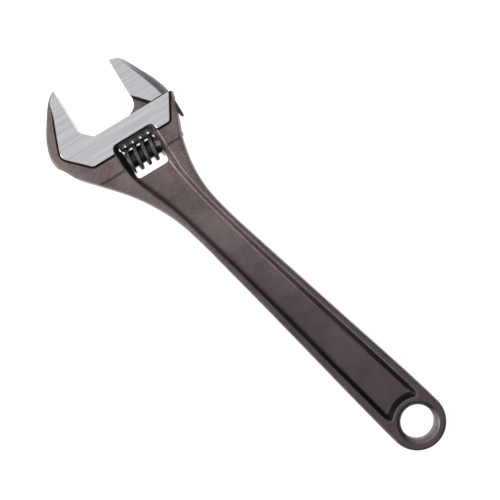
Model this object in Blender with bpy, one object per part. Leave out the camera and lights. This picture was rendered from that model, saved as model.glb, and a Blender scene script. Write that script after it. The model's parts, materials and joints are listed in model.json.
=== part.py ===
"""Adjustable wrench, lying on its side.

Two frames are used. The handle frame has its origin in the hanging hole, +Y along the
handle to the head and +Z out of the upper face. The slide frame sits in the head with its
origin in the corner of the jaw mouth: +X (u) is the way the movable jaw opens and +Y (v)
points out of the mouth. It is turned by the jaw angle. Both have Z = 0 at mid thickness.
"""
import math

import bmesh
import bpy
import numpy as np
from mathutils import Matrix, Vector

MM = 0.001

# overall placing: the part's origin is the bottom centre of its bounding box
BOX_CENTRE_X = 0.345
BOX_CENTRE_Y = 114.767
HALF_THICK = 7.5            # polished faces of head and jaw

# slide frame in the handle frame
JAW_ANGLE = 15.0
MOUTH_X, MOUTH_Y = -14.68, 214.6

# handle and head
RING_X, RING_Y = -0.1, 0.55   # the end round is a little off the hole
RING_R = 14.85
HOLE_R = 8.6
PAD_HALF = 6.6              # unpolished part of the head
STEP_V = -21.5              # the head steps down to the handle below this line
PANEL_HALF = 2.5            # web left between the two recesses
WINDOW_U = (13.1, 31.1)
WINDOW_V = (-28.9, -9.9)
THROAT = 5.7                # chamfer in the corner of the mouth
SLOT_HALF = 2.8             # slot for the neck of the movable jaw
BORE_R = 5.7                # bore for the rail

# movable jaw
OPENING = 31.0
NECK_HALF = 2.5
RAIL_R = 5.4
RAIL_V = -7.9
RAIL_U = (13.0, 50.2)
RACK_ROOT_V = -10.0
JAW_FLOOR = 0.3

# worm, pin and spring
WORM_V = -18.6
WORM_U = (13.4, 30.8)
WORM_R = 7.0
WORM_CORE_R = 4.5
WORM_PITCH = 4.4
WORM_CREST_U = 15.75        # a crest passes the rail side here
CREST_W, ROOT_W = 1.65, 2.5
WORM_BORE_R = 2.1
SPRING_SEAT_R = 3.5
SPRING_SEAT_DEPTH = 4.5
PIN_R = 1.9
PIN_HEAD_R = 2.9
PIN_U = (6.0, 45.2)
PIN_HEAD_U = 36.4
SPRING_COIL_R = 2.9
SPRING_WIRE_R = 0.3
SPRING_TURNS = 4

TURN = 48                   # facets of a round surface


# ---------------------------------------------------------------- geometry helpers
def head(u, v):
    """A slide frame point in the handle frame."""
    a = math.radians(JAW_ANGLE)
    return (MOUTH_X + u * math.cos(a) + v * math.sin(a),
            MOUTH_Y - u * math.sin(a) + v * math.cos(a))


def smooth(points, per_span):
    """Points of a Catmull-Rom curve through the given ones, ends included."""
    p = [Vector(q) for q in points]
    p = [2 * p[0] - p[1]] + p + [2 * p[-1] - p[-2]]
    out = []
    for a, b, c, d in zip(p, p[1:], p[2:], p[3:]):
        for i in range(per_span):
            t = i / per_span
            out.append(0.5 * (2 * b + (c - a) * t + (2 * a - 5 * b + 4 * c - d) * t * t
                              + (3 * b - a - 3 * c + d) * t ** 3))
    out.append(p[-2])
    return [tuple(q) for q in out]


def arc(cx, cy, r, start, end, steps):
    """Points of an arc, angles in degrees."""
    angles = [math.radians(start + (end - start) * i / steps) for i in range(steps + 1)]
    return [(cx + r * math.cos(a), cy + r * math.sin(a)) for a in angles]


def rounded(corners, radius, steps=4):
    """A closed polygon with each corner rounded by a quadratic curve."""
    out = []
    for i, corner in enumerate(corners):
        c = Vector(corner)
        a = Vector(corners[i - 1]) - c
        b = Vector(corners[(i + 1) % len(corners)]) - c
        cut = min(radius, 0.45 * a.length, 0.45 * b.length)
        a, b = c + a.normalized() * cut, c + b.normalized() * cut
        for k in range(steps + 1):
            t = k / steps
            out.append(tuple((1 - t) ** 2 * a + 2 * t * (1 - t) * c + t * t * b))
    return out


def inset(loop, distance):
    """A counter-clockwise loop moved inward, point by point."""
    out = []
    for i, q in enumerate(loop):
        p, a, b = Vector(q), Vector(loop[i - 1]), Vector(loop[(i + 1) % len(loop)])
        n1, n2 = (p - a).normalized(), (b - p).normalized()
        normal = Vector((-(n1.y + n2.y), n1.x + n2.x)).normalized()
        bend = max(0.5, abs(normal.dot(Vector((-n1.y, n1.x)))))
        out.append(tuple(p + normal * distance / bend))
    return out


def material(name, colour, rough, metal):
    mat = bpy.data.materials.new(name)
    mat.use_nodes = True
    shader = mat.node_tree.nodes["Principled BSDF"]
    shader.inputs["Base Color"].default_value = (*colour, 1)
    shader.inputs["Roughness"].default_value = rough
    shader.inputs["Metallic"].default_value = metal
    mat.diffuse_color = (*colour, 1)
    return mat


def add(name, bm, parent, mat=None, location=(0, 0, 0)):
    """Turn a bmesh in millimetres into an object; one without a material is a cutter."""
    bmesh.ops.scale(bm, vec=(MM, MM, MM), verts=bm.verts)
    bmesh.ops.recalc_face_normals(bm, faces=bm.faces)
    mesh = bpy.data.meshes.new(name)
    bm.to_mesh(mesh)
    bm.free()
    obj = bpy.data.objects.new(name, mesh)
    bpy.context.scene.collection.objects.link(obj)
    obj.parent = parent
    obj.location = Vector(location) * MM
    if mat:
        mesh.materials.append(mat)
    else:
        obj.hide_render = True
        obj.display_type = "WIRE"
    return obj


def loft(levels):
    """A closed solid through loops of equal length, given as (loop, z) from low to high."""
    bm = bmesh.new()
    rings = [[bm.verts.new((x, y, z)) for x, y in loop] for loop, z in levels]
    for low, high in zip(rings, rings[1:]):
        for i in range(len(low)):
            bm.faces.new((low[i - 1], low[i], high[i], high[i - 1]))
    bm.faces.new(rings[0][::-1])
    bm.faces.new(rings[-1])
    return bm


def prism(loop, low, high):
    return loft([(loop, low), (loop, high)])


def turned(profile, steps=TURN):
    """A solid of revolution about X from (x, r) points; the ends lie on the axis."""
    bm = bmesh.new()
    first, last = bm.verts.new((profile[0][0], 0, 0)), bm.verts.new((profile[-1][0], 0, 0))
    rings = []
    for x, r in profile:
        angles = [math.tau * (i + 0.5) / steps for i in range(steps)]
        rings.append([bm.verts.new((x, r * math.cos(a), r * math.sin(a))) for a in angles])
    for low, high in zip(rings, rings[1:]):
        for i in range(steps):
            bm.faces.new((low[i - 1], high[i - 1], high[i], low[i]))
    for i in range(steps):
        bm.faces.new((first, rings[0][i], rings[0][i - 1]))
        bm.faces.new((last, rings[-1][i - 1], rings[-1][i]))
    return bm


def swept(section, path_point, steps):
    """A closed tube: the section's points placed by path_point(step, point)."""
    bm = bmesh.new()
    rings = [[bm.verts.new(path_point(s, q)) for q in section] for s in range(steps + 1)]
    for low, high in zip(rings, rings[1:]):
        for i in range(len(section)):
            bm.faces.new((low[i - 1], low[i], high[i], high[i - 1]))
    bm.faces.new(rings[0][::-1])
    bm.faces.new(rings[-1])
    bmesh.ops.triangulate(bm, faces=bm.faces)
    return bm


def combine(target, other, operation):
    mod = target.modifiers.new(other.name, "BOOLEAN")
    mod.operation = operation
    mod.solver = "EXACT"
    mod.object = other


# ---------------------------------------------------------------- scene and frames
for old in list(bpy.data.objects):
    bpy.data.objects.remove(old, do_unlink=True)

handle_frame = bpy.data.objects.new("handle_frame", None)
slide_frame = bpy.data.objects.new("slide_frame", None)
for empty in (handle_frame, slide_frame):
    bpy.context.scene.collection.objects.link(empty)
handle_frame.location = Vector((-BOX_CENTRE_X, -BOX_CENTRE_Y, HALF_THICK)) * MM
slide_frame.parent = handle_frame
slide_frame.location = Vector((MOUTH_X, MOUTH_Y, 0)) * MM
slide_frame.rotation_euler.z = -math.radians(JAW_ANGLE)

forged = material("forged_body", (0.155, 0.128, 0.122), 0.45, 0.6)
jaw_steel = material("jaw_steel", (0.58, 0.58, 0.61), 0.35, 1.0)
black_oxide = material("worm_black", (0.02, 0.02, 0.022), 0.3, 0.8)
pin_steel = material("pin_steel", (0.35, 0.34, 0.34), 0.35, 1.0)
spring_steel = material("spring_steel", (0.45, 0.45, 0.46), 0.3, 1.0)


# ---------------------------------------------------------------- body
def body_outline():
    """The widest outline of the forging, counter-clockwise, running into the mouth."""
    ring = arc(RING_X, RING_Y, RING_R, 180, 360, 24)
    right = smooth([(14.7, 8), (14.5, 20.9), (13.9, 41), (13.15, 61), (12.45, 81),
                    (11.75, 101.5), (11.0, 121.6), (10.6, 138), (11.0, 151.8),
                    (12.7, 161.9), (16.1, 172), (21.2, 182.1), head(45.0, -17.0),
                    head(48.0, -9.0), head(50.74, -0.6)], 3)
    mouth = [head(54.0, 9.0), head(14.0, 9.0), head(9.0, 14.0), head(9.0, 30.5)]
    left = smooth([head(-0.9, 30.02), head(-3.0, 28.95), head(-5.6, 26.5), head(-9.1, 22.2),
                   head(-15.6, 12.1), head(-18.95, 3.3), head(-18.85, -3.0),
                   head(-16.5, -7.7), head(-12.3, -14.2), head(-5.0, -22.3),
                   head(4.0, -32.5), (-15.4, 172), (-12.7, 161.9), (-11.15, 151.8),
                   (-10.8, 138), (-11.2, 121.6), (-11.8, 101.5), (-12.45, 81), (-13.15, 61),
                   (-13.9, 41), (-14.5, 20.9), (-14.85, 8)], 3)
    return ring + right + mouth + left


def half_thickness(x, y):
    """Half thickness of the unpolished surface: head pad, step, tapering handle."""
    a = math.radians(JAW_ANGLE)
    v = (x - MOUTH_X) * math.sin(a) + (y - MOUTH_Y) * math.cos(a)
    if v > STEP_V:
        return PAD_HALF
    along = [-20, 12, 30, 50, 70, 90, 110, 130, 150, 165, 400]
    half = [5.7, 5.7, 5.6, 5.5, 5.45, 5.45, 5.5, 5.6, 5.75, 5.95, 5.95]
    low = float(np.interp(y, along, half))
    return low + (PAD_HALF - low) * max(0.0, 1 - (STEP_V - v) / 1.2)


def forging():
    """Outline loops with rounded edges, cut across and given the handle's thickness."""
    outline = body_outline()
    edge = [(0.0, 0.0), (4.0, 0.35), (5.6, 0.8), (6.3, 1.25), (PAD_HALF, 1.9)]
    levels = [(inset(outline, d), -z) for z, d in reversed(edge[1:])]
    levels += [(inset(outline, d), z) for z, d in edge]
    bm = loft(levels)
    a = math.radians(JAW_ANGLE)
    cuts = [((0, y, 0), (0, 1, 0)) for y in (12, 30, 50, 70, 90, 110, 130, 150, 165)]
    cuts += [((*head(0, STEP_V - d), 0), (math.sin(a), math.cos(a), 0)) for d in (0, 1.2)]
    for point, normal in cuts:
        bmesh.ops.bisect_plane(bm, geom=bm.verts[:] + bm.edges[:] + bm.faces[:],
                               plane_co=point, plane_no=normal, dist=1e-4)
    bmesh.ops.triangulate(bm, faces=bm.faces)
    for vert in bm.verts:
        vert.co.z *= half_thickness(vert.co.x, vert.co.y + 1e-4) / PAD_HALF
    return bm


body = add("body", forging(), handle_frame, forged)

# raised, ground faces of the head
plateau = [(2.0, 29.0), (-1.0, 29.0), (-3.3, 27.4), (-5.3, 23.8), (-6.3, 19.4),
           (-12.7, 2.9), (-13.6, 0.2), (-12.6, -2.7), (-2.6, -12.75), (41.4, -12.75),
           (48.5, -0.4), (48.7, 2.0)]
plateau = [head(u, v) for u, v in rounded(plateau, 1.2, 3)]
ground_faces = add("ground_faces", loft([
    (inset(plateau, 0.25), -HALF_THICK), (plateau, 0.25 - HALF_THICK),
    (plateau, HALF_THICK - 0.25), (inset(plateau, 0.25), HALF_THICK)]), handle_frame)
combine(body, ground_faces, "UNION")

# jaw mouth: fixed jaw face, throat chamfer and slide surface
mouth = prism([(0, THROAT), (THROAT, 0), (70, 0), (70, 60), (0, 60)], -12, 12)
combine(body, add("mouth", mouth, slide_frame), "DIFFERENCE")


# recessed panel of the handle, which widens into the window of the head
def panel(top, bottom, bulge):
    """Counter-clockwise recess outline with a concave end round the hanging hole."""
    right = [(w, y) for y, w in bottom[::-1]]
    left = [(-w, y) for y, w in bottom]
    end = [(bottom[-1][1] * k, bulge - (bulge - bottom[-1][0]) * k * k)
           for k in (-0.75, -0.5, -0.25, 0, 0.25, 0.5, 0.75)]
    return end + right + top + left


def recess(side):
    rim = panel([head(34.6, -30.4), head(34.1, -22.3), head(33.9, -13.5),
                 head(33.5, -10.2), head(32.2, -8.9), head(12.0, -8.9), head(10.7, -10.2),
                 head(10.1, -13.0), head(10.2, -22.4), head(12.0, -30.4)],
                [(171, 9.7), (161, 8.7), (151.5, 8.1), (135, 8.1), (118, 8.2),
                 (101.6, 8.5), (81, 9.0), (61.8, 9.6), (41, 10.05), (21.9, 10.4),
                 (12.4, 10.5), (10.2, 8.9)], 12.6)
    floor = panel([head(31.6, -30.4), head(31.2, -22.3), head(31.2, -13.5),
                   head(31.2, -11.6), head(30.0, -10.4), head(14.2, -10.4), head(13.0, -11.6),
                   head(13.0, -13.0), head(13.0, -24.4), head(13.6, -30.4)],
                  [(171, 7.2), (161, 6.5), (151.5, 6.1), (135, 5.9), (118, 5.85),
                   (101.6, 6.0), (81, 6.2), (61.8, 6.7), (41, 7.6), (21.9, 8.1),
                   (15.4, 8.2), (14.1, 7.2)], 15.8)
    low, high = PANEL_HALF, 6.2
    over = [(r[0] + (r[0] - f[0]) * 0.6, r[1] + (r[1] - f[1]) * 0.6)
            for r, f in zip(rim, floor)]
    levels = [(floor, low), (rim, high), (over, high + (high - low) * 0.6)]
    if side < 0:
        levels = [(loop, -z) for loop, z in reversed(levels)]
    return loft(levels)


for side, name in ((1, "recess_upper"), (-1, "recess_lower")):
    bm = recess(side)
    bmesh.ops.triangulate(bm, faces=bm.faces)
    combine(body, add(name, bm, handle_frame), "DIFFERENCE")

window = rounded([(WINDOW_U[0], WINDOW_V[0]), (WINDOW_U[1], WINDOW_V[0]),
                  (WINDOW_U[1], WINDOW_V[1]), (WINDOW_U[0], WINDOW_V[1])], 2.0)
combine(body, add("window", prism(window, -3.2, 3.2), slide_frame), "DIFFERENCE")

# rail bore right through the head, and the slot above it for the neck
rail_bore = turned([(-30, BORE_R), (60, BORE_R)])
combine(body, add("rail_bore", rail_bore, slide_frame, location=(0, RAIL_V, 0)), "DIFFERENCE")
slot = [(-8.4, RAIL_V), (60, RAIL_V), (60, 10), (2, 10), (0.4, 6.4), (-1.0, 5.4),
        (-2.6, 3.5), (-5.4, 1.6), (-8.4, 0.3)]
combine(body, add("neck_slot", prism(slot, -SLOT_HALF, SLOT_HALF), slide_frame), "DIFFERENCE")

# stepped hole for the worm pin, from the movable jaw's side of the head
pin_hole = turned([(PIN_U[0] - 0.3, PIN_R + 0.2), (PIN_HEAD_U - 0.3, PIN_R + 0.2),
                   (PIN_HEAD_U - 0.3, PIN_HEAD_R + 0.2), (60, PIN_HEAD_R + 0.2)], 32)
combine(body, add("pin_hole", pin_hole, slide_frame, location=(0, WORM_V, 0)), "DIFFERENCE")

# hanging hole with coned rims
hole = turned([(-9, 12.6), (-3.2, HOLE_R), (3.2, HOLE_R), (9, 12.6)])
bmesh.ops.rotate(hole, verts=hole.verts, matrix=Matrix.Rotation(math.pi / 2, 3, "Y"))
combine(body, add("hanging_hole", hole, handle_frame), "DIFFERENCE")


# ---------------------------------------------------------------- movable jaw
def jaw_block():
    """Ground faces above and below, back domed out to the widest line at mid thickness."""
    ground = smooth([(34.4, 27.7), (35.9, 26.6), (37.0, 24.4), (38.2, 21.2), (39.6, 17.2),
                     (41.0, 13.4), (42.4, 9.3), (43.7, 5.2), (44.6, 2.0), (45.1, JAW_FLOOR)], 3)
    widest = smooth([(34.6, 28.3), (36.6, 27.4), (38.1, 25.6), (40.1, 22.2), (42.1, 18.4),
                     (44.2, 14.4), (46.2, 10.2), (47.9, 5.6), (48.8, 2.2), (49.1, JAW_FLOOR)], 3)
    front = [(38.6, JAW_FLOOR), (31.8, 8.0), (OPENING, 9.4), (OPENING, 27.8),
             (31.3, 28.45), (32.0, 28.65), (33.2, 28.45)]
    shape = [(HALF_THICK, 0.0), (HALF_THICK - 0.6, 0.28), (5.6, 0.6), (3.2, 0.88), (0, 1.0)]
    levels = []
    for z, f in shape:
        back = [(g[0] + (w[0] - g[0]) * f, g[1] + (w[1] - g[1]) * f)
                for g, w in zip(ground, widest)]
        levels.append(((front + back)[::-1], z))
    levels = [(loop, -z) for loop, z in levels[:-1]] + levels[::-1]
    return loft(levels)


jaw = jaw_block()
bmesh.ops.triangulate(jaw, faces=jaw.faces)
movable_jaw = add("movable_jaw", jaw, slide_frame, jaw_steel)

neck = smooth([(31.6, 9.2), (31.2, 6.4), (30.4, 4.0), (28.6, 2.2), (26.0, 0.9),
               (23.6, -0.2)], 3) + [(23.2, -1.0), (23.2, RAIL_V), (48.4, RAIL_V), (47.6, 5.0),
                                    (38.0, 9.2)]
combine(movable_jaw, add("neck", prism(neck, -NECK_HALF, NECK_HALF), slide_frame), "UNION")
rail = turned([(RAIL_U[0], RAIL_R - 0.8), (RAIL_U[0] + 0.8, RAIL_R),
               (RAIL_U[1] - 0.6, RAIL_R), (RAIL_U[1], RAIL_R - 0.6)])
combine(movable_jaw, add("rail", rail, slide_frame, location=(0, RAIL_V, 0)), "UNION")


def rack_gaps():
    """Tapered gaps that clear the worm's thread, leaning with its helix."""
    bm = bmesh.new()
    lean = WORM_PITCH / (math.tau * 6.0)
    count = int((RAIL_U[1] + 1.5 - WORM_CREST_U) / WORM_PITCH) + 1
    for k in range(count):
        u = WORM_CREST_U + k * WORM_PITCH
        ends = []
        for z in (-6.5, 6.5):
            shift = u - lean * z
            ends.append([bm.verts.new((shift + s * w / 2, v, z)) for s, w, v in
                         ((-1, 1.9, RACK_ROOT_V), (1, 1.9, RACK_ROOT_V),
                          (1, 3.0, -14.6), (-1, 3.0, -14.6))])
        for i in range(4):
            bm.faces.new((ends[0][i - 1], ends[0][i], ends[1][i], ends[1][i - 1]))
        bm.faces.new(ends[0][::-1])
        bm.faces.new(ends[1])
    bmesh.ops.triangulate(bm, faces=bm.faces)
    return bm


combine(movable_jaw, add("rack_gaps", rack_gaps(), slide_frame), "DIFFERENCE")


# ---------------------------------------------------------------- worm, pin and spring
def thread():
    """Left-handed trapezoid thread about X, as seen from the worm's own origin."""
    steps = 36
    turns = 6.5
    start = -1.5

    def place(s, q):
        angle = math.tau * (start + s / steps)
        x = WORM_CREST_U - WORM_U[0] - angle / math.tau * WORM_PITCH + 4 * WORM_PITCH + q[0]
        return (x, q[1] * math.cos(angle), q[1] * math.sin(angle))

    deep = WORM_CORE_R - 0.6
    wide = ROOT_W / 2 + 0.6 * (ROOT_W - CREST_W) / 2 / (WORM_R - WORM_CORE_R)
    section = [(-wide, deep), (-CREST_W / 2, WORM_R), (CREST_W / 2, WORM_R), (wide, deep)]
    return swept(section, place, int(turns * steps))


WORM_LENGTH = WORM_U[1] - WORM_U[0]
core = turned([(-2, WORM_CORE_R), (WORM_LENGTH + 2, WORM_CORE_R)], 36)
worm = add("worm", core, slide_frame, black_oxide, location=(WORM_U[0], WORM_V, 0))
combine(worm, add("thread", thread(), worm), "UNION")
trim = turned([(0, WORM_R - 0.5), (0.5, WORM_R + 0.6), (WORM_LENGTH - 0.5, WORM_R + 0.6),
               (WORM_LENGTH, WORM_R - 0.5)], 36)
combine(worm, add("worm_trim", trim, worm), "INTERSECT")
seat = turned([(-4, WORM_BORE_R), (WORM_LENGTH - SPRING_SEAT_DEPTH, WORM_BORE_R),
               (WORM_LENGTH - SPRING_SEAT_DEPTH, SPRING_SEAT_R),
               (WORM_LENGTH + 4, SPRING_SEAT_R)], 32)
combine(worm, add("worm_bore", seat, worm), "DIFFERENCE")

pin_length = PIN_U[1] - PIN_U[0]
neck_at = PIN_HEAD_U - PIN_U[0]
pin = turned([(0, PIN_R - 0.4), (0.4, PIN_R), (neck_at, PIN_R), (neck_at, PIN_HEAD_R - 0.3),
              (neck_at + 0.3, PIN_HEAD_R), (pin_length - 0.4, PIN_HEAD_R),
              (pin_length, PIN_HEAD_R - 0.4)], 32)
worm_pin = add("worm_pin", pin, slide_frame, pin_steel, location=(PIN_U[0], WORM_V, 0))
cut = prism([(pin_length - 1.2, -4), (pin_length + 1, -4), (pin_length + 1, 4),
             (pin_length - 1.2, 4)], -0.45, 0.45)
combine(worm_pin, add("pin_slot", cut, worm_pin), "DIFFERENCE")


def spring_point(s, q):
    """Coil round the pin, its section turned with the helix."""
    angle = math.tau * s / 20
    length = SPRING_SEAT_DEPTH - 0.45 - 2 * SPRING_WIRE_R
    x = SPRING_WIRE_R + length * s / (20 * SPRING_TURNS)
    r = SPRING_COIL_R + SPRING_WIRE_R * math.cos(math.tau * q / 8)
    return (x + SPRING_WIRE_R * math.sin(math.tau * q / 8), r * math.cos(angle),
            r * math.sin(angle))


spring_u = WORM_U[1] - SPRING_SEAT_DEPTH + 0.25
coil = swept(list(range(8)), spring_point, 20 * SPRING_TURNS)
add("worm_spring", coil, slide_frame, spring_steel, location=(spring_u, WORM_V, 0))
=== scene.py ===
"""Adjustable wrench lying on a pale table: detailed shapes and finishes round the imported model."""
import json
import math

import bmesh
import bpy
import numpy as np
from mathutils import Matrix, Vector


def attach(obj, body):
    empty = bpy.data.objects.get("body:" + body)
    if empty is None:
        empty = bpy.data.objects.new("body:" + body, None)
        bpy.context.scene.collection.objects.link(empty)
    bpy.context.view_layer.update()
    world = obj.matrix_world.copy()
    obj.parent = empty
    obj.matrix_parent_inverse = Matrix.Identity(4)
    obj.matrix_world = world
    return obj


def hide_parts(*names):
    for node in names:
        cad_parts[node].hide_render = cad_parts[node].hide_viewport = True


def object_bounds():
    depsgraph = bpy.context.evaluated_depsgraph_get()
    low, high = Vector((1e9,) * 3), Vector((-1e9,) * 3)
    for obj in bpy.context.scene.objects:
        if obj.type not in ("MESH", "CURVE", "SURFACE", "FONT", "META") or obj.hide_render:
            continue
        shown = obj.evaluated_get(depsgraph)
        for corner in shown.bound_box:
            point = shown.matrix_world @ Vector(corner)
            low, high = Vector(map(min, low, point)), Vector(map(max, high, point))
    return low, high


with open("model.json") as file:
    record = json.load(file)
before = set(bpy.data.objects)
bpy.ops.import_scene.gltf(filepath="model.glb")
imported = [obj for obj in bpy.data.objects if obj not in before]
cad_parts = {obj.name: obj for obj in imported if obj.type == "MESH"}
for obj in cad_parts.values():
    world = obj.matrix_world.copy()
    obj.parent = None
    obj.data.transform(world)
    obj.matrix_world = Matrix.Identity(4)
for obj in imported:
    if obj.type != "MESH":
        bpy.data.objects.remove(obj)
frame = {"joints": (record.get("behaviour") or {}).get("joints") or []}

cad_low, cad_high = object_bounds()
MM = 0.001

# ------------------------------------------------------------------ frames
# The worm's hinge gives the slide frame: u along its axis, v out of the jaw mouth.
hinge = next(j for j in frame["joints"] if j["name"] == "worm_spin")
U = Vector(hinge["axis"]).normalized()
V = Vector((-U.y, U.x, 0))
WORM_U, WORM_V = (13.4, 30.8), -18.6
worm_mid = Vector(hinge["pos_m"])
MOUTH = worm_mid - U * MM * (sum(WORM_U) / 2) - V * MM * WORM_V
MOUTH_X, MOUTH_Y = -14.68, 214.6                 # the mouth's corner from the hanging hole
HANDLE = MOUTH - Vector((MOUTH_X, MOUTH_Y, 0)) * MM
SLIDE_MATRIX = Matrix((( U.x, V.x, 0, MOUTH.x), (U.y, V.y, 0, MOUTH.y),
                       (0, 0, 1, MOUTH.z), (0, 0, 0, 1)))
HANDLE_MATRIX = Matrix.Translation(HANDLE)
JAW_ANGLE = math.atan2(-U.y, U.x)

HALF_THICK = 7.5
RING_X, RING_Y, RING_R = -0.1, 0.55, 14.85
HOLE_R = 8.6
PAD_HALF = 6.6
PLATEAU_V = -12.75
STEP_V = -21.5
PANEL_HALF = 2.5
WINDOW_U = (13.1, 31.1)
WINDOW_V = (-28.9, -9.9)
THROAT = 5.7
SLOT_HALF = 2.8
BORE_R = 5.7
OPENING = 31.0
NECK_HALF = 2.5
NECK_FACING = (0.75, 0.662)                      # square to the block's edge at the neck
NECK_SHADE = 28.1                                # the block's painted shadow lies on the neck from here to that edge
RAIL_R = 5.4
RAIL_V = -7.9
RAIL_U = (13.0, 49.2)
RACK_ROOT_V = -10.0
JAW_FLOOR = 0.3
WORM_R = 7.0
WORM_CORE_R = 4.5
WORM_PITCH = 4.4
WORM_CREST_U = 15.75
POCKET_DEPTH = 4.5                               # the spring's pocket in the worm's end
CREST_W, ROOT_W = 1.65, 2.5
KNURL_PITCH = 1.1
KNURL_DEPTH = 0.22
PIN_U = (6.0, 44.1)
PIN_HEAD_U = 36.4
PIN_HEAD_R = 2.9
PIN_R = 1.9
GROUND_Z = 7.1                                   # faces above this height are ground
CAMERA_X, CAMERA_Y, CAMERA_UP = 0.00373, 0.1191, 0.550
CAMERA_TURN = -46.13
CAMERA_LENS = 80.5


# ------------------------------------------------------------------ geometry helpers
def head(u, v):
    """A slide frame point in the handle frame."""
    return (MOUTH_X + u * math.cos(JAW_ANGLE) + v * math.sin(JAW_ANGLE),
            MOUTH_Y - u * math.sin(JAW_ANGLE) + v * math.cos(JAW_ANGLE))


def head_v(x, y):
    """How far a handle frame point lies along v."""
    return (x - MOUTH_X) * math.sin(JAW_ANGLE) + (y - MOUTH_Y) * math.cos(JAW_ANGLE)


def smooth(points, per_span):
    """Points of a Catmull-Rom curve through the given ones."""
    p = [Vector(q) for q in points]
    p = [2 * p[0] - p[1]] + p + [2 * p[-1] - p[-2]]
    out = []
    for a, b, c, d in zip(p, p[1:], p[2:], p[3:]):
        for i in range(per_span):
            t = i / per_span
            out.append(0.5 * (2 * b + (c - a) * t + (2 * a - 5 * b + 4 * c - d) * t * t
                              + (3 * b - a - 3 * c + d) * t ** 3))
    out.append(p[-2])
    return [tuple(q) for q in out]


def arc(cx, cy, r, start, end, steps):
    """Points along a circle between two angles in degrees."""
    angles = [math.radians(start + (end - start) * i / steps) for i in range(steps + 1)]
    return [(cx + r * math.cos(a), cy + r * math.sin(a)) for a in angles]


def rounded(corners, radius, steps=4):
    """A closed polygon with each corner rounded by a quadratic curve."""
    out = []
    for i, corner in enumerate(corners):
        c = Vector(corner)
        a = Vector(corners[i - 1]) - c
        b = Vector(corners[(i + 1) % len(corners)]) - c
        cut = min(radius, 0.45 * a.length, 0.45 * b.length)
        a, b = c + a.normalized() * cut, c + b.normalized() * cut
        for k in range(steps + 1):
            t = k / steps
            out.append(tuple((1 - t) ** 2 * a + 2 * t * (1 - t) * c + t * t * b))
    return out


def inset(loop, distance, weights=None):
    """A counter-clockwise loop moved inward, by distance times each point's weight."""
    out = []
    weights = weights or [1.0] * len(loop)
    for i, q in enumerate(loop):
        p, a, b = Vector(q), Vector(loop[i - 1]), Vector(loop[(i + 1) % len(loop)])
        n1, n2 = (p - a).normalized(), (b - p).normalized()
        normal = Vector((-(n1.y + n2.y), n1.x + n2.x)).normalized()
        bend = max(0.5, abs(normal.dot(Vector((-n1.y, n1.x)))))
        out.append(tuple(p + normal * distance * weights[i] / bend))
    return out


def loft(levels, bm=None):
    """A closed solid through loops of (x, y, z) points, from low to high."""
    bm = bm or bmesh.new()
    rings = [[bm.verts.new(q) for q in loop] for loop in levels]
    for low, high in zip(rings, rings[1:]):
        for i in range(len(low)):
            bm.faces.new((low[i - 1], low[i], high[i], high[i - 1]))
    bm.faces.new(rings[0][::-1])
    bm.faces.new(rings[-1])
    return bm


def at(loop, z):
    """A flat loop lifted to height z."""
    return [(x, y, z) for x, y in loop]


def prism(loop, low, high):
    """A loop extruded between two heights."""
    return loft([at(loop, low), at(loop, high)])


def turned(profile, steps=96, axis_y=0):
    """A solid of revolution about a line along X from (x, r) points."""
    bm = bmesh.new()
    first = bm.verts.new((profile[0][0], axis_y, 0))
    last = bm.verts.new((profile[-1][0], axis_y, 0))
    angles = [math.tau * (i + 0.5) / steps for i in range(steps)]
    rings = [[bm.verts.new((x, axis_y + r * math.cos(a), r * math.sin(a))) for a in angles]
             for x, r in profile]
    for low, high in zip(rings, rings[1:]):
        for i in range(steps):
            bm.faces.new((low[i - 1], high[i - 1], high[i], low[i]))
    for i in range(steps):
        bm.faces.new((first, rings[0][i], rings[0][i - 1]))
        bm.faces.new((last, rings[-1][i - 1], rings[-1][i]))
    return bm


def make(name, bm, matrix, mats=()):
    """An object in the row frame from a bmesh in millimetres."""
    bm.transform(matrix @ Matrix.Scale(MM, 4))
    bmesh.ops.recalc_face_normals(bm, faces=bm.faces)
    mesh = bpy.data.meshes.new(name)
    bm.to_mesh(mesh)
    bm.free()
    obj = bpy.data.objects.new(name, mesh)
    bpy.context.scene.collection.objects.link(obj)
    for mat in mats:
        mesh.materials.append(mat)
    return obj


def carve(target, steps):
    """Applies Boolean steps (object, operation) to target and removes their objects."""
    for other, operation in steps:
        mod = target.modifiers.new(other.name, "BOOLEAN")
        mod.operation = operation
        mod.solver = "EXACT"
        mod.object = other
    depsgraph = bpy.context.evaluated_depsgraph_get()
    mesh = bpy.data.meshes.new_from_object(target.evaluated_get(depsgraph))
    target.modifiers.clear()
    old, target.data = target.data, mesh
    bpy.data.meshes.remove(old)
    mesh.name = target.name
    for other, _ in steps:
        bpy.data.objects.remove(other, do_unlink=True)


def on_screw_axis(u):
    """The slide frame moved to a point on the worm's axis."""
    return SLIDE_MATRIX @ Matrix.Translation(Vector((u, WORM_V, 0)) * MM)


def finish_faces(obj, pick, angle=32):
    """Sets each face's material and painted light from pick(centres, normals), in slide frame mm.

    The painted light runs from -1, a painted highlight, to 1, painted shade."""
    mesh = obj.data
    count = len(mesh.polygons)
    centres, normals = np.empty(count * 3), np.empty(count * 3)
    mesh.polygons.foreach_get("center", centres)
    mesh.polygons.foreach_get("normal", normals)
    turn = np.array(SLIDE_MATRIX.to_3x3())
    c = ((centres.reshape(-1, 3) - np.array(MOUTH)) @ turn) / MM
    n = normals.reshape(-1, 3) @ turn
    index, painted_light = pick(c.T, n.T)
    mesh.polygons.foreach_set("material_index", np.broadcast_to(index, count).astype(np.int32))
    layer = mesh.attributes.new("painted_light", "FLOAT", "FACE")
    layer.data.foreach_set("value", np.broadcast_to(painted_light, count).astype(np.float32))
    mesh.shade_smooth()
    mesh.set_sharp_from_angle(angle=math.radians(angle))
    weighted = obj.modifiers.new("weighted_normals", "WEIGHTED_NORMAL")
    weighted.keep_sharp = True
    weighted.weight = 80


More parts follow.
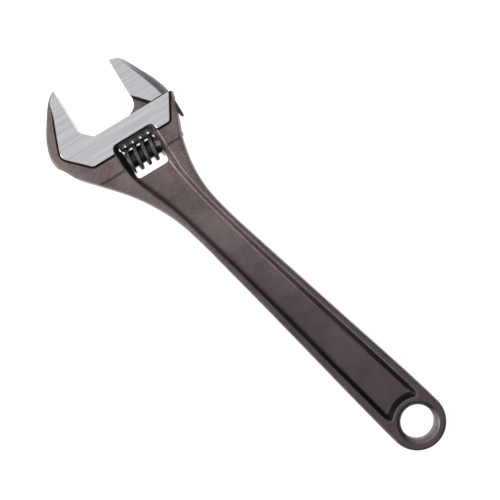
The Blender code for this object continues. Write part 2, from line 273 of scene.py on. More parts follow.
def ramp(value, low, high):
    """0 at low to 1 at high, held outside them."""
    return np.clip((value - low) / (high - low), 0, 1)


def inside(loop, x, y):
    """Which of the points (x, y) lie inside a closed loop."""
    found = np.zeros(x.shape, bool)
    for (ax, ay), (bx, by) in zip(loop, loop[1:] + loop[:1]):
        if ay != by:
            found ^= ((ay > y) != (by > y)) & (x < (bx - ax) * (y - ay) / (by - ay) + ax)
    return found


def along_edge(loop, outside, within, x, y):
    """Which points lie in a narrow band along a loop."""
    return inside(inset(loop, -outside), x, y) & ~inside(inset(loop, within), x, y)


# ------------------------------------------------------------------ materials
def new_material(name):
    mat = bpy.data.materials.new(name)
    mat.use_nodes = True
    tree = mat.node_tree
    return mat, tree, tree.nodes["Principled BSDF"]


class Graph:
    """Small helpers for building a material's node tree."""

    def __init__(self, tree):
        self.tree = tree
        self.coords = tree.nodes.new("ShaderNodeTexCoord").outputs["Object"]

    def link(self, a, b):
        self.tree.links.new(a, b)

    def mapped(self, scale, turn=0.0):
        """Object coordinates turned about Z, then scaled."""
        node = self.tree.nodes.new("ShaderNodeMapping")
        node.inputs["Scale"].default_value = scale
        spin = self.tree.nodes.new("ShaderNodeVectorRotate")
        spin.rotation_type = "Z_AXIS"
        spin.inputs["Angle"].default_value = turn
        self.link(self.coords, spin.inputs["Vector"])
        self.link(spin.outputs[0], node.inputs["Vector"])
        return node.outputs[0]

    def noise(self, vector, scale=1.0, detail=3.0, rough=0.55):
        node = self.tree.nodes.new("ShaderNodeTexNoise")
        node.inputs["Scale"].default_value = scale
        node.inputs["Detail"].default_value = detail
        node.inputs["Roughness"].default_value = rough
        self.link(vector, node.inputs["Vector"])
        return node.outputs[0]

    def span(self, value, low, high, to_low, to_high):
        """A value mapped from one range to another and held there."""
        node = self.tree.nodes.new("ShaderNodeMapRange")
        self.link(value, node.inputs[0])
        for i, number in enumerate((low, high, to_low, to_high)):
            node.inputs[i + 1].default_value = number
        return node.outputs[0]

    def math(self, kind, a, b):
        node = self.tree.nodes.new("ShaderNodeMath")
        node.operation = kind
        for socket, x in zip(node.inputs, (a, b)):
            if isinstance(x, (int, float)):
                socket.default_value = x
            else:
                self.link(x, socket)
        return node.outputs[0]

    def mix(self, factor, a, b):
        """Colour mix; a and b are colours or sockets."""
        node = self.tree.nodes.new("ShaderNodeMix")
        node.data_type = "RGBA"
        self.link(factor, node.inputs[0])
        for socket, x in ((node.inputs[6], a), (node.inputs[7], b)):
            if isinstance(x, tuple):
                socket.default_value = (*x, 1)
            else:
                self.link(x, socket)
        return node.outputs[2]

    def bump(self, height, strength, distance, normal=None):
        node = self.tree.nodes.new("ShaderNodeBump")
        node.inputs["Strength"].default_value = strength
        node.inputs["Distance"].default_value = distance
        self.link(height, node.inputs["Height"])
        if normal is not None:
            self.link(normal, node.inputs["Normal"])
        return node.outputs[0]

    def attribute(self, name):
        node = self.tree.nodes.new("ShaderNodeAttribute")
        node.attribute_name = name
        return node.outputs["Fac"]

    def along(self, low, high):
        """0 to 1 between two places along the handle, in metres."""
        node = self.tree.nodes.new("ShaderNodeSeparateXYZ")
        self.link(self.coords, node.inputs[0])
        return self.span(node.outputs["Y"], low, high, 0, 1)

    def convex(self, low, high):
        """0 on flats to 1 on sharp outer edges."""
        node = self.tree.nodes.new("ShaderNodeNewGeometry")
        return self.span(node.outputs["Pointiness"], low, high, 0, 1)


def forged_material(name, tone=1.0):
    """Brown-grey phosphate on a blasted forging, with painted shade darkening it towards the
    handle's end.

    A per-face attribute lays painted highlights and painted shade over it."""
    mat, tree, shader = new_material(name)
    g = Graph(tree)
    raw = g.mapped((1, 1, 1))
    broad = g.noise(raw, 55, 2)
    fine = g.noise(raw, 760, 4, 0.65)
    grain = g.noise(raw, 2600, 2, 0.6)
    value = g.math("ADD", g.math("MULTIPLY", broad, 0.4), g.math("MULTIPLY", fine, 0.3))
    value = g.math("ADD", value, g.math("MULTIPLY", grain, 0.3))
    mottle = g.span(value, 0.41, 0.59, 0, 1)
    warm = g.mix(mottle, tuple(tone * c for c in (0.088, 0.063, 0.059)),
                 tuple(tone * c for c in (0.200, 0.156, 0.148)))
    end_shade = g.mix(mottle, tuple(tone * c for c in (0.043, 0.029, 0.034)),
                 tuple(tone * c for c in (0.086, 0.062, 0.072)))
    # painted shade: darker and cooler towards the handle's end, where less light falls
    colour = g.mix(g.along(-0.04, 0.055), end_shade, warm)
    painted_light = g.attribute("painted_light")
    # painted highlight where the per-face attribute is below zero, painted shade where it is above,
    # which also dulls the specular
    painted_highlight = g.math("MULTIPLY", g.span(painted_light, 0, -1, 0, 1), g.span(fine, 0.35, 0.6, 0.55, 1))
    colour = g.mix(painted_highlight, colour, (0.36, 0.32, 0.31))
    colour = g.mix(g.span(painted_light, 0, 1, 0, 1), colour, (0.006, 0.004, 0.005))
    g.link(colour, shader.inputs["Base Color"])
    g.link(g.span(painted_light, 0.1, 0.9, 0.5, 0.08), shader.inputs["Specular IOR Level"])
    g.link(g.span(fine, 0.3, 0.7, 0.35, 0.49), shader.inputs["Roughness"])
    shader.inputs["Metallic"].default_value = 0.35
    normal = g.bump(fine, 0.4, 0.00014)
    g.link(g.bump(grain, 0.35, 0.00006, normal), shader.inputs["Normal"])
    return mat


def ground_material(name, dark=(0.375, 0.37, 0.385), light=(0.575, 0.565, 0.59)):
    """Steel ground along the slide direction: long fine scratches in faint bands."""
    mat, tree, shader = new_material(name)
    g = Graph(tree)
    line = g.noise(g.mapped((30, 3600, 400), JAW_ANGLE), 1, 3, 0.7)
    band = g.noise(g.mapped((14, 900, 60), JAW_ANGLE), 1, 2, 0.6)
    speck = g.noise(g.mapped((1, 1, 1)), 2600, 2)
    value = g.math("ADD", g.math("MULTIPLY", line, 0.6), g.math("MULTIPLY", band, 0.4))
    g.link(g.mix(g.span(value, 0.36, 0.64, 0, 1), dark, light), shader.inputs["Base Color"])
    rough = g.math("ADD", g.span(line, 0.3, 0.7, 0.22, 0.30),
                   g.span(speck, 0.3, 0.7, -0.03, 0.03))
    g.link(rough, shader.inputs["Roughness"])
    shader.inputs["Metallic"].default_value = 1.0
    g.link(g.bump(line, 0.12, 0.00002), shader.inputs["Normal"])
    return mat


def oxide_material(name, colour_low, colour_high, rough, metal=0.75):
    """Oiled black oxide on machined steel, rubbed off the sharp edges."""
    mat, tree, shader = new_material(name)
    g = Graph(tree)
    raw = g.mapped((1, 1, 1))
    fine = g.noise(raw, 1500, 3)
    broad = g.noise(raw, 260, 2)
    colour = g.mix(g.span(broad, 0.35, 0.65, 0, 1), colour_low, colour_high)
    colour = g.mix(g.convex(0.54, 0.62), colour, (0.22, 0.215, 0.21))
    g.link(colour, shader.inputs["Base Color"])
    g.link(g.span(fine, 0.3, 0.7, rough, rough + 0.12), shader.inputs["Roughness"])
    shader.inputs["Metallic"].default_value = metal
    g.link(g.bump(fine, 0.12, 0.00004), shader.inputs["Normal"])
    return mat


def turned_material(name, low, high):
    """Bare steel with fine tool marks round the slide axis."""
    mat, tree, shader = new_material(name)
    g = Graph(tree)
    line = g.noise(g.mapped((5200, 120, 120), JAW_ANGLE), 1, 3, 0.6)
    spot = g.noise(g.mapped((1, 1, 1)), 700, 3)
    g.link(g.mix(g.span(spot, 0.35, 0.65, 0, 1), low, high), shader.inputs["Base Color"])
    g.link(g.span(line, 0.3, 0.7, 0.24, 0.42), shader.inputs["Roughness"])
    shader.inputs["Metallic"].default_value = 1.0
    g.link(g.bump(line, 0.3, 0.00003), shader.inputs["Normal"])
    return mat


forged = forged_material("phosphated_forging")
dark_forged = forged_material("phosphated_jaw", tone=0.9)
ground = ground_material("ground_steel")
# the bevels behind the jaw's ground faces: ground steel with a painted bluish reflection
bevel_reflection = ground_material("bevel_painted_reflection", (0.22, 0.22, 0.33), (0.42, 0.42, 0.58))
rack_black = oxide_material("rack_black", (0.006, 0.005, 0.005), (0.014, 0.012, 0.012),
                            rough=0.42, metal=0.3)
worm_gloss = oxide_material("worm_black", (0.012, 0.012, 0.013), (0.028, 0.027, 0.028),
                            rough=0.16)
worm_knurl = oxide_material("worm_knurl", (0.075, 0.073, 0.072), (0.14, 0.135, 0.132),
                            rough=0.34)
pin_steel = turned_material("pin_steel", (0.30, 0.29, 0.29), (0.42, 0.41, 0.41))
spring_steel = turned_material("spring_steel", (0.40, 0.40, 0.41), (0.52, 0.52, 0.53))


# ------------------------------------------------------------------ body
def body_outline():
    """Counter-clockwise silhouette: ring, right side, open mouth, left side."""
    ring = arc(RING_X, RING_Y, RING_R, 180, 360, 64)
    right = smooth([(14.7, 8), (14.5, 20.9), (13.9, 41), (13.15, 61), (12.45, 81),
                    (11.75, 101.5), (11.0, 121.6), (10.6, 138), (11.0, 151.8),
                    (12.7, 161.9), (16.1, 172), (21.2, 182.1), head(45.0, -17.0),
                    head(48.0, -9.0), head(50.62, -0.6)], 8)
    mouth = [head(50.62, 9.0), head(14.0, 9.0), head(9.0, 14.0), head(9.0, 30.5)]
    left = smooth([head(-0.9, 29.95), head(-3.0, 28.95), head(-5.6, 26.5), head(-9.1, 22.2),
                   head(-15.6, 12.1), head(-18.9, 3.3), head(-18.8, -3.0),
                   head(-16.5, -7.7), head(-12.3, -14.2), head(-5.0, -22.3),
                   head(4.0, -32.5), (-15.4, 172), (-12.7, 161.9), (-11.15, 151.8),
                   (-10.8, 138), (-11.2, 121.6), (-11.8, 101.5), (-12.45, 81), (-13.15, 61),
                   (-13.9, 41), (-14.5, 20.9), (-14.85, 8)], 8)
    return ring + right + mouth + left


def half_thickness(x, y):
    """Half the forging's thickness: full on the head, slimmer past the step."""
    v = head_v(x, y)
    if v >= STEP_V:
        return PAD_HALF
    along = [-20, 12, 30, 50, 70, 90, 110, 130, 150, 165, 400]
    half = [5.7, 5.7, 5.6, 5.5, 5.45, 5.45, 5.5, 5.6, 5.75, 5.95, 5.95]
    low = float(np.interp(y, along, half))
    t = min(1.0, (STEP_V - v) / 1.4)
    return PAD_HALF + (low - PAD_HALF) * t * t * (3 - 2 * t)


def forging():
    """The whole forging before machining, its edges rounded over."""
    outline = body_outline()
    edge = [(0.0, 0.0), (2.4, 0.12), (4.2, 0.30), (5.2, 0.50), (5.75, 0.72), (6.12, 0.95),
            (6.36, 1.2), (6.51, 1.45), (6.58, 1.68), (PAD_HALF, 1.9), (PAD_HALF, 2.1)]
    slim = [1 - 0.4 * min(1.0, max(0.0, (head_v(x, y) - 20) / 7)) for x, y in outline]
    levels = [at(inset(outline, d, slim), -z) for z, d in reversed(edge[1:])]
    levels += [at(inset(outline, d, slim), z) for z, d in edge]
    bm = loft(levels)
    a = JAW_ANGLE
    cuts = [((0, y, 0), (0, 1, 0)) for y in range(10, 170, 8)]
    cuts += [((*head(0, STEP_V - 0.2 * k), 0), (math.sin(a), math.cos(a), 0))
             for k in range(8)]
    for point, normal in cuts:
        bmesh.ops.bisect_plane(bm, geom=bm.verts[:] + bm.edges[:] + bm.faces[:],
                               plane_co=point, plane_no=normal, dist=1e-4)
    bmesh.ops.triangulate(bm, faces=bm.faces)
    for vert in bm.verts:
        vert.co.z *= half_thickness(vert.co.x, vert.co.y + 1e-4) / PAD_HALF
    return bm


def bend(start, control, end, steps=6):
    """Inner points of a quadratic corner."""
    a, c, b = Vector(start), Vector(control), Vector(end)
    return [tuple((1 - t) ** 2 * a + 2 * t * (1 - t) * c + t * t * b)
            for t in (k / steps for k in range(1, steps))]


def panel(end_r, end_half, right, corner_right, corner_left, left):
    """Counter-clockwise recess outline: arc round the hole, sides, window end.

    Each corner is (start, control, end)."""
    swing = math.degrees(math.asin(end_half / end_r))
    loop = arc(0, 0, end_r, 90 + swing, 90 - swing, 16) + smooth(right, 5)
    loop += bend(*corner_right)
    top_a, top_b = Vector(corner_right[2]), Vector(corner_left[0])
    loop += [tuple(top_a.lerp(top_b, k / 6)) for k in range(7)]
    return loop + bend(*corner_left) + smooth(left, 5)


RIM_CORNER = [(8.35, 9.8), (9.45, 10.25), (10.25, 11.6), (10.5, 13.6), (10.45, 17.0)]
FLOOR_CORNER = [(7.3, 14.1), (7.9, 14.6), (8.15, 15.6), (8.2, 17.2), (8.15, 19.0)]
RIM = panel(12.6, 7.2, RIM_CORNER
            + [(10.4, 21.9), (10.05, 41), (9.6, 61.8), (9.0, 81), (8.45, 101.6),
               (8.1, 118), (7.95, 135), (7.95, 151.5), (8.4, 161), (9.3, 171),
               head(34.35, -30.4), head(34.1, -22.3), head(33.85, -15.0),
               head(33.95, -12.4)],
            (head(33.95, -12.4), head(33.9, -8.9), head(31.2, -8.9)),
            (head(12.8, -8.9), head(10.6, -8.9), head(10.1, -11.9)),
            [head(10.1, -11.9), head(10.0, -15.0), head(10.2, -22.4), head(12.0, -30.4),
             (-9.8, 171), (-8.65, 161), (-8.15, 151.5), (-8.1, 135), (-8.2, 118),
             (-8.5, 101.6), (-9.0, 81), (-9.6, 61.8), (-10.05, 41), (-10.4, 21.9)]
            + [(-x, y) for x, y in RIM_CORNER[::-1]])
FLOOR = panel(15.8, 6.4, FLOOR_CORNER
              + [(8.1, 23.0), (7.6, 41), (6.7, 61.8), (6.2, 81), (6.0, 101.6),
                 (5.85, 118), (5.85, 135), (6.0, 151.5), (6.4, 161), (7.1, 171),
                 head(31.4, -30.4), head(31.1, -22.3), head(31.1, -15.0),
                 head(31.1, -12.4)],
              (head(31.1, -12.4), head(31.1, -10.3), head(29.2, -10.3)),
              (head(15.0, -10.3), head(13.1, -10.3), head(13.1, -12.4)),
              [head(13.1, -12.4), head(13.1, -15.0), head(13.1, -24.4), head(14.2, -30.4),
               (-7.2, 171), (-6.5, 161), (-6.1, 151.5), (-5.9, 135), (-5.85, 118),
               (-6.0, 101.6), (-6.2, 81), (-6.7, 61.8), (-7.6, 41), (-8.1, 23.0)]
              + [(-x, y) for x, y in FLOOR_CORNER[::-1]])


def recess(side):
    """Recess with a filleted floor and a rim rounded over into the surface round it."""
    tall = []
    for x, y in RIM:
        v = head_v(x, y)
        blend = min(1.0, max(0.0, (v - PLATEAU_V + 0.35) / 0.5))
        low = half_thickness(x, y)
        tall.append(low + (HALF_THICK - low) * blend)
    levels = [at(inset(FLOOR, 0.8), PANEL_HALF), at(inset(FLOOR, 0.5), PANEL_HALF + 0.06),
              at(inset(FLOOR, 0.2), PANEL_HALF + 0.2)]
    for share in (0.16, 0.45, 0.75, 0.88):
        levels.append([(f[0] + (r[0] - f[0]) * share, f[1] + (r[1] - f[1]) * share,
                        PANEL_HALF + (t - PANEL_HALF) * share)
                       for f, r, t in zip(FLOOR, RIM, tall)])
    for out, rise in ((0.02, -0.32), (0.13, -0.14), (0.32, -0.03), (0.55, 0.02),
                      (0.75, 0.4), (0.9, 3.0)):
        levels.append([(x, y, t + rise) for (x, y), t in zip(inset(RIM, -out), tall)])
    if side < 0:
        levels = [[(x, y, -z) for x, y, z in loop] for loop in reversed(levels)]
    bm = loft(levels)
    bmesh.ops.triangulate(bm, faces=bm.faces)
    return bm


body = make("forged_body", forging(), HANDLE_MATRIX, (forged, ground))
plateau = [(2.0, 28.95), (0.0, 28.95)] + smooth([
    (-0.9, 28.85), (-2.2, 28.25), (-3.4, 27.1), (-4.5, 25.6), (-5.3, 23.6), (-6.1, 20.0),
    (-7.6, 16.0), (-9.2, 12.0), (-10.8, 8.0), (-12.3, 4.0), (-13.15, 1.6), (-13.4, 0.1),
    (-13.1, -1.4), (-12.2, -2.9), (-10.6, -4.5)], 3)
plateau += rounded([(-6.9, -8.1), (-2.3, -12.75), (41.4, -12.75), (48.4, -0.4),
                    (48.6, 2.0)], 1.2, 6)[7:]
foot_share = [max(0.0, min(1.0, (26 - v) / 10)) for u, v in plateau]
plateau = [head(u, v) for u, v in plateau]
bevel = [(0.32, HALF_THICK), (0.14, HALF_THICK - 0.07), (0.04, HALF_THICK - 0.2),
         (0.0, HALF_THICK - 0.36)]
foot = [(0.0, 6.9), (0.12, 6.84), (0.45, 6.75), (0.85, 6.66), (1.15, 6.57), (1.27, 6.3)]
profile = [(inset(plateau, d), z) for d, z in bevel]
profile += [(inset(plateau, -d, foot_share), z) for d, z in foot]
plateau_bm = loft([at(loop, -z) for loop, z in profile]
                  + [at(loop, z) for loop, z in reversed(profile)])
mouth = prism([(0, THROAT), (THROAT, 0), (70, 0), (70, 60), (0, 60)], -12, 12)
window = rounded([(WINDOW_U[0], WINDOW_V[0]), (WINDOW_U[1], WINDOW_V[0]),
                  (WINDOW_U[1], WINDOW_V[1]), (WINDOW_U[0], WINDOW_V[1])], 2.2, 8)
slot = smooth([(2, 10), (0.4, 6.4), (-1.0, 5.4), (-2.6, 3.5), (-5.4, 1.6), (-8.4, 0.3)], 5)
slot = slot + [(-8.4, RAIL_V), (60, RAIL_V), (60, 10)]
pin_hole = [(PIN_U[0] - 0.3, 2.1), (PIN_HEAD_U - 0.3, 2.1), (PIN_HEAD_U - 0.3, PIN_HEAD_R + 0.2),
            (60, PIN_HEAD_R + 0.2)]
rim = [(2.6, HOLE_R), (3.0, HOLE_R + 0.06), (3.4, HOLE_R + 0.25), (4.9, 9.75), (5.3, 10.1),
       (5.55, 10.45), (5.68, 10.85), (9, 13.4)]
hole = [(-z, r) for z, r in reversed(rim)] + rim
hole_bm = turned(hole)
bmesh.ops.rotate(hole_bm, verts=hole_bm.verts, matrix=Matrix.Rotation(math.pi / 2, 3, "Y"))
carve(body, [
    (make("plateau", plateau_bm, HANDLE_MATRIX), "UNION"),
    (make("mouth", mouth, SLIDE_MATRIX), "DIFFERENCE"),
    (make("recess_upper", recess(1), HANDLE_MATRIX), "DIFFERENCE"),
    (make("recess_lower", recess(-1), HANDLE_MATRIX), "DIFFERENCE"),
    (make("window", prism(window, -3.6, 3.6), SLIDE_MATRIX), "DIFFERENCE"),
    (make("bore", turned([(-30, BORE_R), (60, BORE_R)], axis_y=RAIL_V),
          SLIDE_MATRIX), "DIFFERENCE"),
    (make("slot", prism(slot, -SLOT_HALF, SLOT_HALF), SLIDE_MATRIX), "DIFFERENCE"),
    (make("pin_hole", turned(pin_hole, 64, axis_y=WORM_V), SLIDE_MATRIX),
     "DIFFERENCE"),
    (make("hole", hole_bm, HANDLE_MATRIX), "DIFFERENCE"),
])


# painted shade and highlight strengths, with the right side first where the sides differ
WALL_SHADE, WINDOW_SHADE, STEP_SHADOW, RING_EDGE_SHADE = 0.8, 0.85, 0.45, 0.75
SLOPE_SHADE, FOOT_SHADE = 1.0, 0.75
RIM_HIGHLIGHT, FLOOR_HIGHLIGHT, SIDE_REFLECTION = (-0.75, -0.5), (-0.5, -0.2), (-0.95, -0.6)
SINK_HIGHLIGHT, SINK_SHADE, SINK_R = -0.75, 0.7, 10.3


def body_finish(c, n):
    """Ground steel on the raised faces and in the mouth, phosphate elsewhere."""
    u, v, z = c[0], c[1], abs(c[2])
    in_mouth = (abs(u) < 0.02) & (n[0] > 0.9) & (v > 0) | (abs(v) < 0.02) & (n[1] > 0.9)
    throat = (abs(u + v - THROAT) < 0.03) & (n[0] > 0.6) & (n[1] > 0.6)
    steel = (z > GROUND_Z) | in_mouth | throat
    x, y = head(u, v)
    inner = inside(RIM, x, y) & (z > PANEL_HALF - 0.1)
    right_side = (x > 2) & (y > 25)

    # painted shade on the recess walls, lighter towards the head and where they face the light
    wall = inner & (abs(n[2]) < 0.9)
    near_head = ramp(y, 30, 140)
    lit = np.clip(-n[0] * 4, 0, 1)
    painted_light = wall * (WALL_SHADE - near_head * (0.55 + 0.25 * lit))
    in_window = wall & (v > WINDOW_V[0] - 6)
    window_shade_level = WINDOW_SHADE * np.clip((v - WINDOW_V[0] + 8) / 10, 0.45, 1)
    painted_light = np.where(in_window, window_shade_level * (1 - 0.85 * lit), painted_light)

    # painted shade along the foot of the ground faces and painted shadow below the step
    foot_slope = (abs(n[2]) < 0.985) & (z > PAD_HALF) & (z < GROUND_Z) & ~inner
    painted_light = np.maximum(painted_light, np.where(z > 6.66, SLOPE_SHADE, FOOT_SHADE) * foot_slope)
    step = ramp(v, STEP_V - 1.5, STEP_V) * (v < STEP_V) * (z > 5) * ~inner
    painted_light = np.maximum(painted_light, STEP_SHADOW * step)

    # painted highlights on the recess rim, with some edge wear, and on the edge of its floor;
    # painted reflections on the handle's sides
    rim_line = along_edge(RIM, 0.34, 0, x, y) & (v < PLATEAU_V) & (z > 5)
    painted_light = np.where(rim_line, np.where(right_side, *RIM_HIGHLIGHT), painted_light)
    floor_line = along_edge(FLOOR, 0.3, 0.2, x, y) & (v < WINDOW_V[0] + 0.5)
    floor_line &= (z < 3.6) & (z > PANEL_HALF - 0.1) & (y > 20)
    share = floor_line * np.where(right_side, ramp(y, 55, 105), ramp(y, 30, 90))
    painted_light = painted_light * (1 - share) + np.where(right_side, *FLOOR_HIGHLIGHT) * share
    sides = ~inner & (z < 4.65) & (abs(n[2]) < 0.8) & (abs(x) > 9) & (y > 10) & (y < 165)
    side_sheen_fade = ramp(y, 10, 44) * np.clip((165 - y) / 60, 0, 1)
    painted_light = np.where(sides, np.where(x > 0, *SIDE_REFLECTION) * side_sheen_fade, painted_light)

    # hanging hole: painted highlight on the chamfer at the end, painted shade on it towards the head
    # and on the outer edge
    from_hole = np.hypot(x, y)
    to_head = n[1] * math.cos(JAW_ANGLE) - n[0] * math.sin(JAW_ANGLE)
    sink = (from_hole > HOLE_R + 0.03) & (from_hole < SINK_R) & (z > PANEL_HALF + 0.1)
    sink_light = SINK_HIGHLIGHT * np.clip(to_head * 2, 0, 1) + SINK_SHADE * (to_head < 0)
    painted_light = np.where(sink, sink_light, painted_light)
    ring_edge = (y < 4) & (from_hole > 13.1) & (z > 1)
    painted_light = np.where(ring_edge, RING_EDGE_SHADE * np.clip(-to_head * 1.5, 0, 1), painted_light)
    return np.where(steel, 1, 0), painted_light


finish_faces(body, body_finish)
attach(body, "frame")
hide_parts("body")


# ------------------------------------------------------------------ movable jaw
def jaw_block():
    """Ground faces above and below, back domed out to the widest line at mid thickness."""
    flat = smooth([(34.4, 27.7), (35.8, 26.7), (36.9, 24.6), (38.2, 21.2), (39.6, 17.2),
                   (41.0, 13.4), (42.4, 9.3), (43.7, 5.2), (44.6, 2.0), (45.1, JAW_FLOOR)], 8)
    widest = smooth([(34.6, 28.3), (36.5, 27.4), (38.0, 25.6), (40.0, 22.2), (42.0, 18.4),
                     (44.1, 14.4), (46.1, 10.2), (47.8, 5.6), (48.7, 2.2), (49.0, JAW_FLOOR)],
                    8)
    front = [(38.6, JAW_FLOOR), (31.8, 8.0), (31.15, 8.9), (OPENING, 9.8), (OPENING, 27.6),
             (31.1, 28.1), (31.4, 28.45), (32.0, 28.6), (33.2, 28.35)]
    shape = [(0, 1.0, 0), (1.6, 0.97, 0), (3.2, 0.88, 0), (4.6, 0.75, 0), (5.6, 0.6, 0),
             (6.3, 0.44, 0), (6.72, 0.31, 0), (6.86, 0.28, 0), (7.15, 0.16, 0.0),
             (7.33, 0.07, 0.04), (7.44, 0.02, 0.12), (HALF_THICK, 0.0, 0.26)]
    levels = []
    for z, share, cut in shape:
        back = [(g[0] + (w[0] - g[0]) * share, g[1] + (w[1] - g[1]) * share)
                for g, w in zip(flat, widest)]
        levels.append(at(inset((front + back)[::-1], cut), z))
    mirrored = [[(x, y, -z) for x, y, z in loop] for loop in reversed(levels[1:])]
    return loft(mirrored + levels)


def rack_gaps():
    """The gaps between the rack's teeth, leaning with the worm's thread."""
    bm = bmesh.new()
    lean = WORM_PITCH / (math.tau * 6.0)
    count = int((RAIL_U[1] + 1.5 - WORM_CREST_U) / WORM_PITCH) + 1
    profile = ((-0.95, RACK_ROOT_V - 0.15), (-0.8, RACK_ROOT_V), (0.8, RACK_ROOT_V),
               (0.95, RACK_ROOT_V - 0.15), (1.5, -14.6), (-1.5, -14.6))
    for k in range(count):
        u = WORM_CREST_U + k * WORM_PITCH
        loft([[(u - lean * z + du, v, z) for du, v in profile] for z in (-6.5, 6.5)], bm)
    bmesh.ops.triangulate(bm, faces=bm.faces)
    return bm


jaw_bm = jaw_block()
bmesh.ops.triangulate(jaw_bm, faces=jaw_bm.faces)
jaw = make("sliding_jaw", jaw_bm, SLIDE_MATRIX, (dark_forged, ground, bevel_reflection, rack_black))
neck = smooth([(31.6, 9.2), (31.2, 6.4), (30.4, 4.0), (28.6, 2.2), (26.0, 0.9),
               (23.6, -0.2)], 8)
neck += [(23.2, -1.0), (23.2, RAIL_V), (48.4, RAIL_V), (47.6, 5.0), (38.0, 9.2)]
neck_bm = prism(neck, -NECK_HALF, NECK_HALF)
bmesh.ops.bisect_plane(neck_bm, geom=neck_bm.verts[:] + neck_bm.edges[:] + neck_bm.faces[:],
                       plane_co=(NECK_SHADE * NECK_FACING[0], NECK_SHADE * NECK_FACING[1], 0),
                       plane_no=(*NECK_FACING, 0), dist=1e-4)
rail = [(RAIL_U[0], RAIL_R - 0.8), (RAIL_U[0] + 0.8, RAIL_R), (RAIL_U[1] - 0.6, RAIL_R),
        (RAIL_U[1] - 0.15, RAIL_R - 0.25), (RAIL_U[1], RAIL_R - 0.6)]
carve(jaw, [
    (make("neck", neck_bm, SLIDE_MATRIX), "UNION"),
    (make("rail", turned(rail, axis_y=RAIL_V), SLIDE_MATRIX), "UNION"),
    (make("rack", rack_gaps(), SLIDE_MATRIX), "DIFFERENCE"),
])


# painted shade on the block's underside and its painted shadow on the neck
UNDER_SHADE, NECK_SHADOW = 0.92, 0.85


def jaw_finish(c, n):
    """Ground faces, bevels with a painted bluish reflection behind them, black rail, phosphate
    elsewhere; painted shade under the block and on the neck.
    """
    u, v, z = c[0], c[1], abs(c[2])
    block = v > JAW_FLOOR - 0.05
    tip = (v > 28) & (u < 35) & (n[1] > 0.4)
    steel = block & ((z > GROUND_Z) | (n[0] < -0.95) & (v > 8) | tip)
    bevel = block & (z > 6.8) & (n[0] > 0.2) & ~steel
    bevel |= block & (z > 6.84) & (z < 7.35) & (u > 36)
    on_rail = np.hypot(v - RAIL_V, c[2]) < RAIL_R + 0.03
    rail = on_rail & ((u < 46) | (v < RAIL_V - 1.5))
    under = (n[1] < -0.3) & (v > 0) & (z > NECK_HALF - 0.1)
    near_block = (z < NECK_HALF + 0.05) & (v > 0)
    near_block &= NECK_FACING[0] * u + NECK_FACING[1] * v > NECK_SHADE
    return (np.select([steel, bevel, rail], [1, 2, 3], 0),
            np.maximum(UNDER_SHADE * under, NECK_SHADOW * near_block))


finish_faces(jaw, jaw_finish)
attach(jaw, "jaw")
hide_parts("movable_jaw")

# ------------------------------------------------------------------ worm
LENGTH = WORM_U[1] - WORM_U[0]
WORM_MATRIX = on_screw_axis(WORM_U[0])


def knurl(around, across):
    """Height of a diamond knurl, from 0 in the grooves to 1 on the flat tops."""
    rise = 1.0
    for way in (1, -1):
        t = (around + way * across) / KNURL_PITCH
        rise = min(rise, 2.2 * abs(t - round(t)))
    return rise


def thread():
    """Left-handed trapezoid thread with diamond-knurled crests."""
    per_turn, first_x = 264, LENGTH + 2.4
    count = 5 * per_turn + 70
    sunk = 0.6                                   # how far the thread's foot is in the core
    deep = WORM_CORE_R - sunk
    wide = ROOT_W / 2 + sunk * (ROOT_W - CREST_W) / 2 / (WORM_R - WORM_CORE_R)
    section = [(-wide, deep, 0), (-CREST_W / 2 - 0.06, WORM_R - 0.36, 0)]
    section += [(CREST_W * (k / 12 - 0.5), WORM_R, 1) for k in range(13)]
    section += [(CREST_W / 2 + 0.06, WORM_R - 0.36, 0), (wide, deep, 0)]
    crest_x = WORM_CREST_U - WORM_U[0]
    loops = []
    for s in range(count):
        x0 = first_x - WORM_PITCH * s / per_turn
        angle = math.tau * (crest_x - x0) / WORM_PITCH
        loop = []
        for dx, r, crest in section:
            if crest:
                edge = min(1.0, (CREST_W / 2 - abs(dx)) / 0.12)
                r += KNURL_DEPTH * (knurl(angle * WORM_R, dx) - 1) - 0.08 * (1 - edge)
            loop.append((x0 + dx, r * math.cos(angle), r * math.sin(angle)))
        loops.append(loop)
    bm = loft(loops)
    bmesh.ops.triangulate(bm, faces=bm.faces)
    return bm


worm = make("adjusting_worm", turned([(-2, WORM_CORE_R), (LENGTH + 2, WORM_CORE_R)]),
            WORM_MATRIX, (worm_gloss, worm_knurl))
trim = [(0, WORM_R - 0.9), (0.15, WORM_R - 0.5), (0.7, WORM_R + 0.6),
        (LENGTH - 0.7, WORM_R + 0.6), (LENGTH - 0.15, WORM_R - 0.5), (LENGTH, WORM_R - 0.9)]
pocket = LENGTH - POCKET_DEPTH
seat = [(-4, 2.5), (0, 2.4), (0.3, 2.1), (pocket, 2.1), (pocket, 3.5),
        (LENGTH - 0.3, 3.5), (LENGTH, 3.8), (LENGTH + 4, 3.8)]
carve(worm, [
    (make("thread", thread(), WORM_MATRIX), "UNION"),
    (make("trim", turned(trim), WORM_MATRIX), "INTERSECT"),
    (make("seat", turned(seat, 64), WORM_MATRIX), "DIFFERENCE"),
])
crest_r = WORM_R - KNURL_DEPTH - 0.05
finish_faces(worm, lambda c, n: (np.hypot(c[1] - WORM_V, c[2]) > crest_r, 0.0), 40)
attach(worm, "screw")
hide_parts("worm")

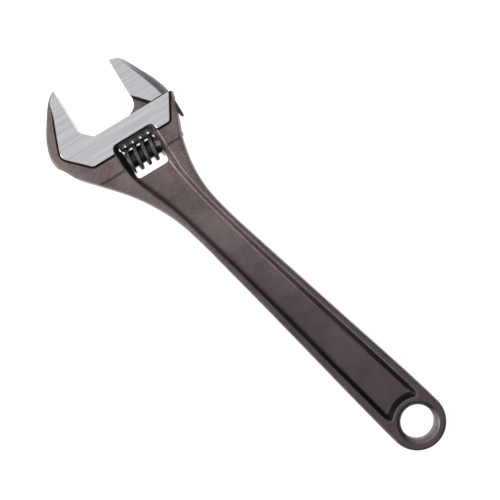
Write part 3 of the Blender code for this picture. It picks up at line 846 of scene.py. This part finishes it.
# ------------------------------------------------------------------ pin and spring
pin_length, neck_at = PIN_U[1] - PIN_U[0], PIN_HEAD_U - PIN_U[0]
PIN_MATRIX = on_screw_axis(PIN_U[0])
pin = make("slotted_pin", turned([
    (0, 1.4), (0.4, 1.85), (0.6, PIN_R), (neck_at, PIN_R), (neck_at, 2.6),
    (neck_at + 0.3, PIN_HEAD_R), (pin_length - 0.5, PIN_HEAD_R), (pin_length - 0.25, 2.84),
    (pin_length - 0.08, 2.7), (pin_length, 2.4)], 64), PIN_MATRIX, (pin_steel,))
groove = prism([(pin_length - 1.2, -4), (pin_length + 1, -4), (pin_length + 1, 4),
                (pin_length - 1.2, 4)], -0.45, 0.45)
carve(pin, [(make("groove", groove, PIN_MATRIX), "DIFFERENCE")])
finish_faces(pin, lambda c, n: (0, 0.0))
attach(pin, "frame")
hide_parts("worm_pin")

wire_r, coil_r, turns = 0.3, 2.9, 4
coil_length = POCKET_DEPTH - 0.45 - 2 * wire_r
per_turn, sides = 48, 14
coil_loops = []
for s in range(per_turn * turns + 1):
    angle = math.tau * s / per_turn
    x = wire_r + coil_length * s / (per_turn * turns)
    loop = []
    for q in range(sides):
        r = coil_r + wire_r * math.cos(math.tau * q / sides)
        loop.append((x + wire_r * math.sin(math.tau * q / sides),
                     r * math.cos(angle), r * math.sin(angle)))
    coil_loops.append(loop)
coil_bm = loft(coil_loops)
SPRING_MATRIX = on_screw_axis(WORM_U[1] - POCKET_DEPTH + 0.25)
coil = make("coil_spring", coil_bm, SPRING_MATRIX, (spring_steel,))
finish_faces(coil, lambda c, n: (0, 0.0))
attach(coil, "frame")
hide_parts("worm_spring")

# ------------------------------------------------------------------ floor, light, camera
floor_bm = bmesh.new()
bmesh.ops.create_grid(floor_bm, x_segments=1, y_segments=1, size=8)
floor_mesh = bpy.data.meshes.new("floor")
floor_bm.to_mesh(floor_mesh)
floor_bm.free()
floor = bpy.data.objects.new("floor", floor_mesh)
bpy.context.scene.collection.objects.link(floor)
floor.location.z = cad_low[2]
floor_mat, _, floor_shader = new_material("floor_white")
floor_shader.inputs["Base Color"].default_value = (0.96, 0.96, 0.96, 1)
floor_shader.inputs["Roughness"].default_value = 0.9
floor_shader.inputs["Specular IOR Level"].default_value = 0.0
floor_shader.inputs["Emission Color"].default_value = (1, 1, 1, 1)
floor_shader.inputs["Emission Strength"].default_value = 0.9
floor_mesh.materials.append(floor_mat)

world = bpy.data.worlds.new("studio")
bpy.context.scene.world = world
world.use_nodes = True
world.node_tree.nodes["Background"].inputs["Color"].default_value = (1, 1, 1, 1)
world.node_tree.nodes["Background"].inputs["Strength"].default_value = 0.25


def soft_light(name, place, aim, size, watts):
    """A rectangular area light turned towards a point."""
    data = bpy.data.lights.new(name, "AREA")
    data.shape = "RECTANGLE"
    data.size, data.size_y = size
    data.energy = watts
    light = bpy.data.objects.new(name, data)
    bpy.context.scene.collection.objects.link(light)
    light.location = place
    light.rotation_euler = (Vector(aim) - Vector(place)).to_track_quat("-Z", "Y").to_euler()


soft_light("key", (-0.52, 0.30, 0.36), (0, 0.04, 0), (0.22, 0.5), 3.0)
soft_light("top", (0.0, 0.1, 0.95), (0, 0.05, 0), (1.3, 1.3), 4.6)

# straight down on the middle of the wrench, turned so that the handle runs corner to corner
camera_data = bpy.data.cameras.new("camera")
camera_data.lens = CAMERA_LENS
camera = bpy.data.objects.new("camera", camera_data)
bpy.context.scene.collection.objects.link(camera)
camera.location = (HANDLE.x + CAMERA_X, HANDLE.y + CAMERA_Y, cad_high[2] + CAMERA_UP)
camera.rotation_euler = (0, 0, math.radians(CAMERA_TURN))
bpy.context.scene.camera = camera
bpy.context.scene.view_settings.view_transform = "Standard"
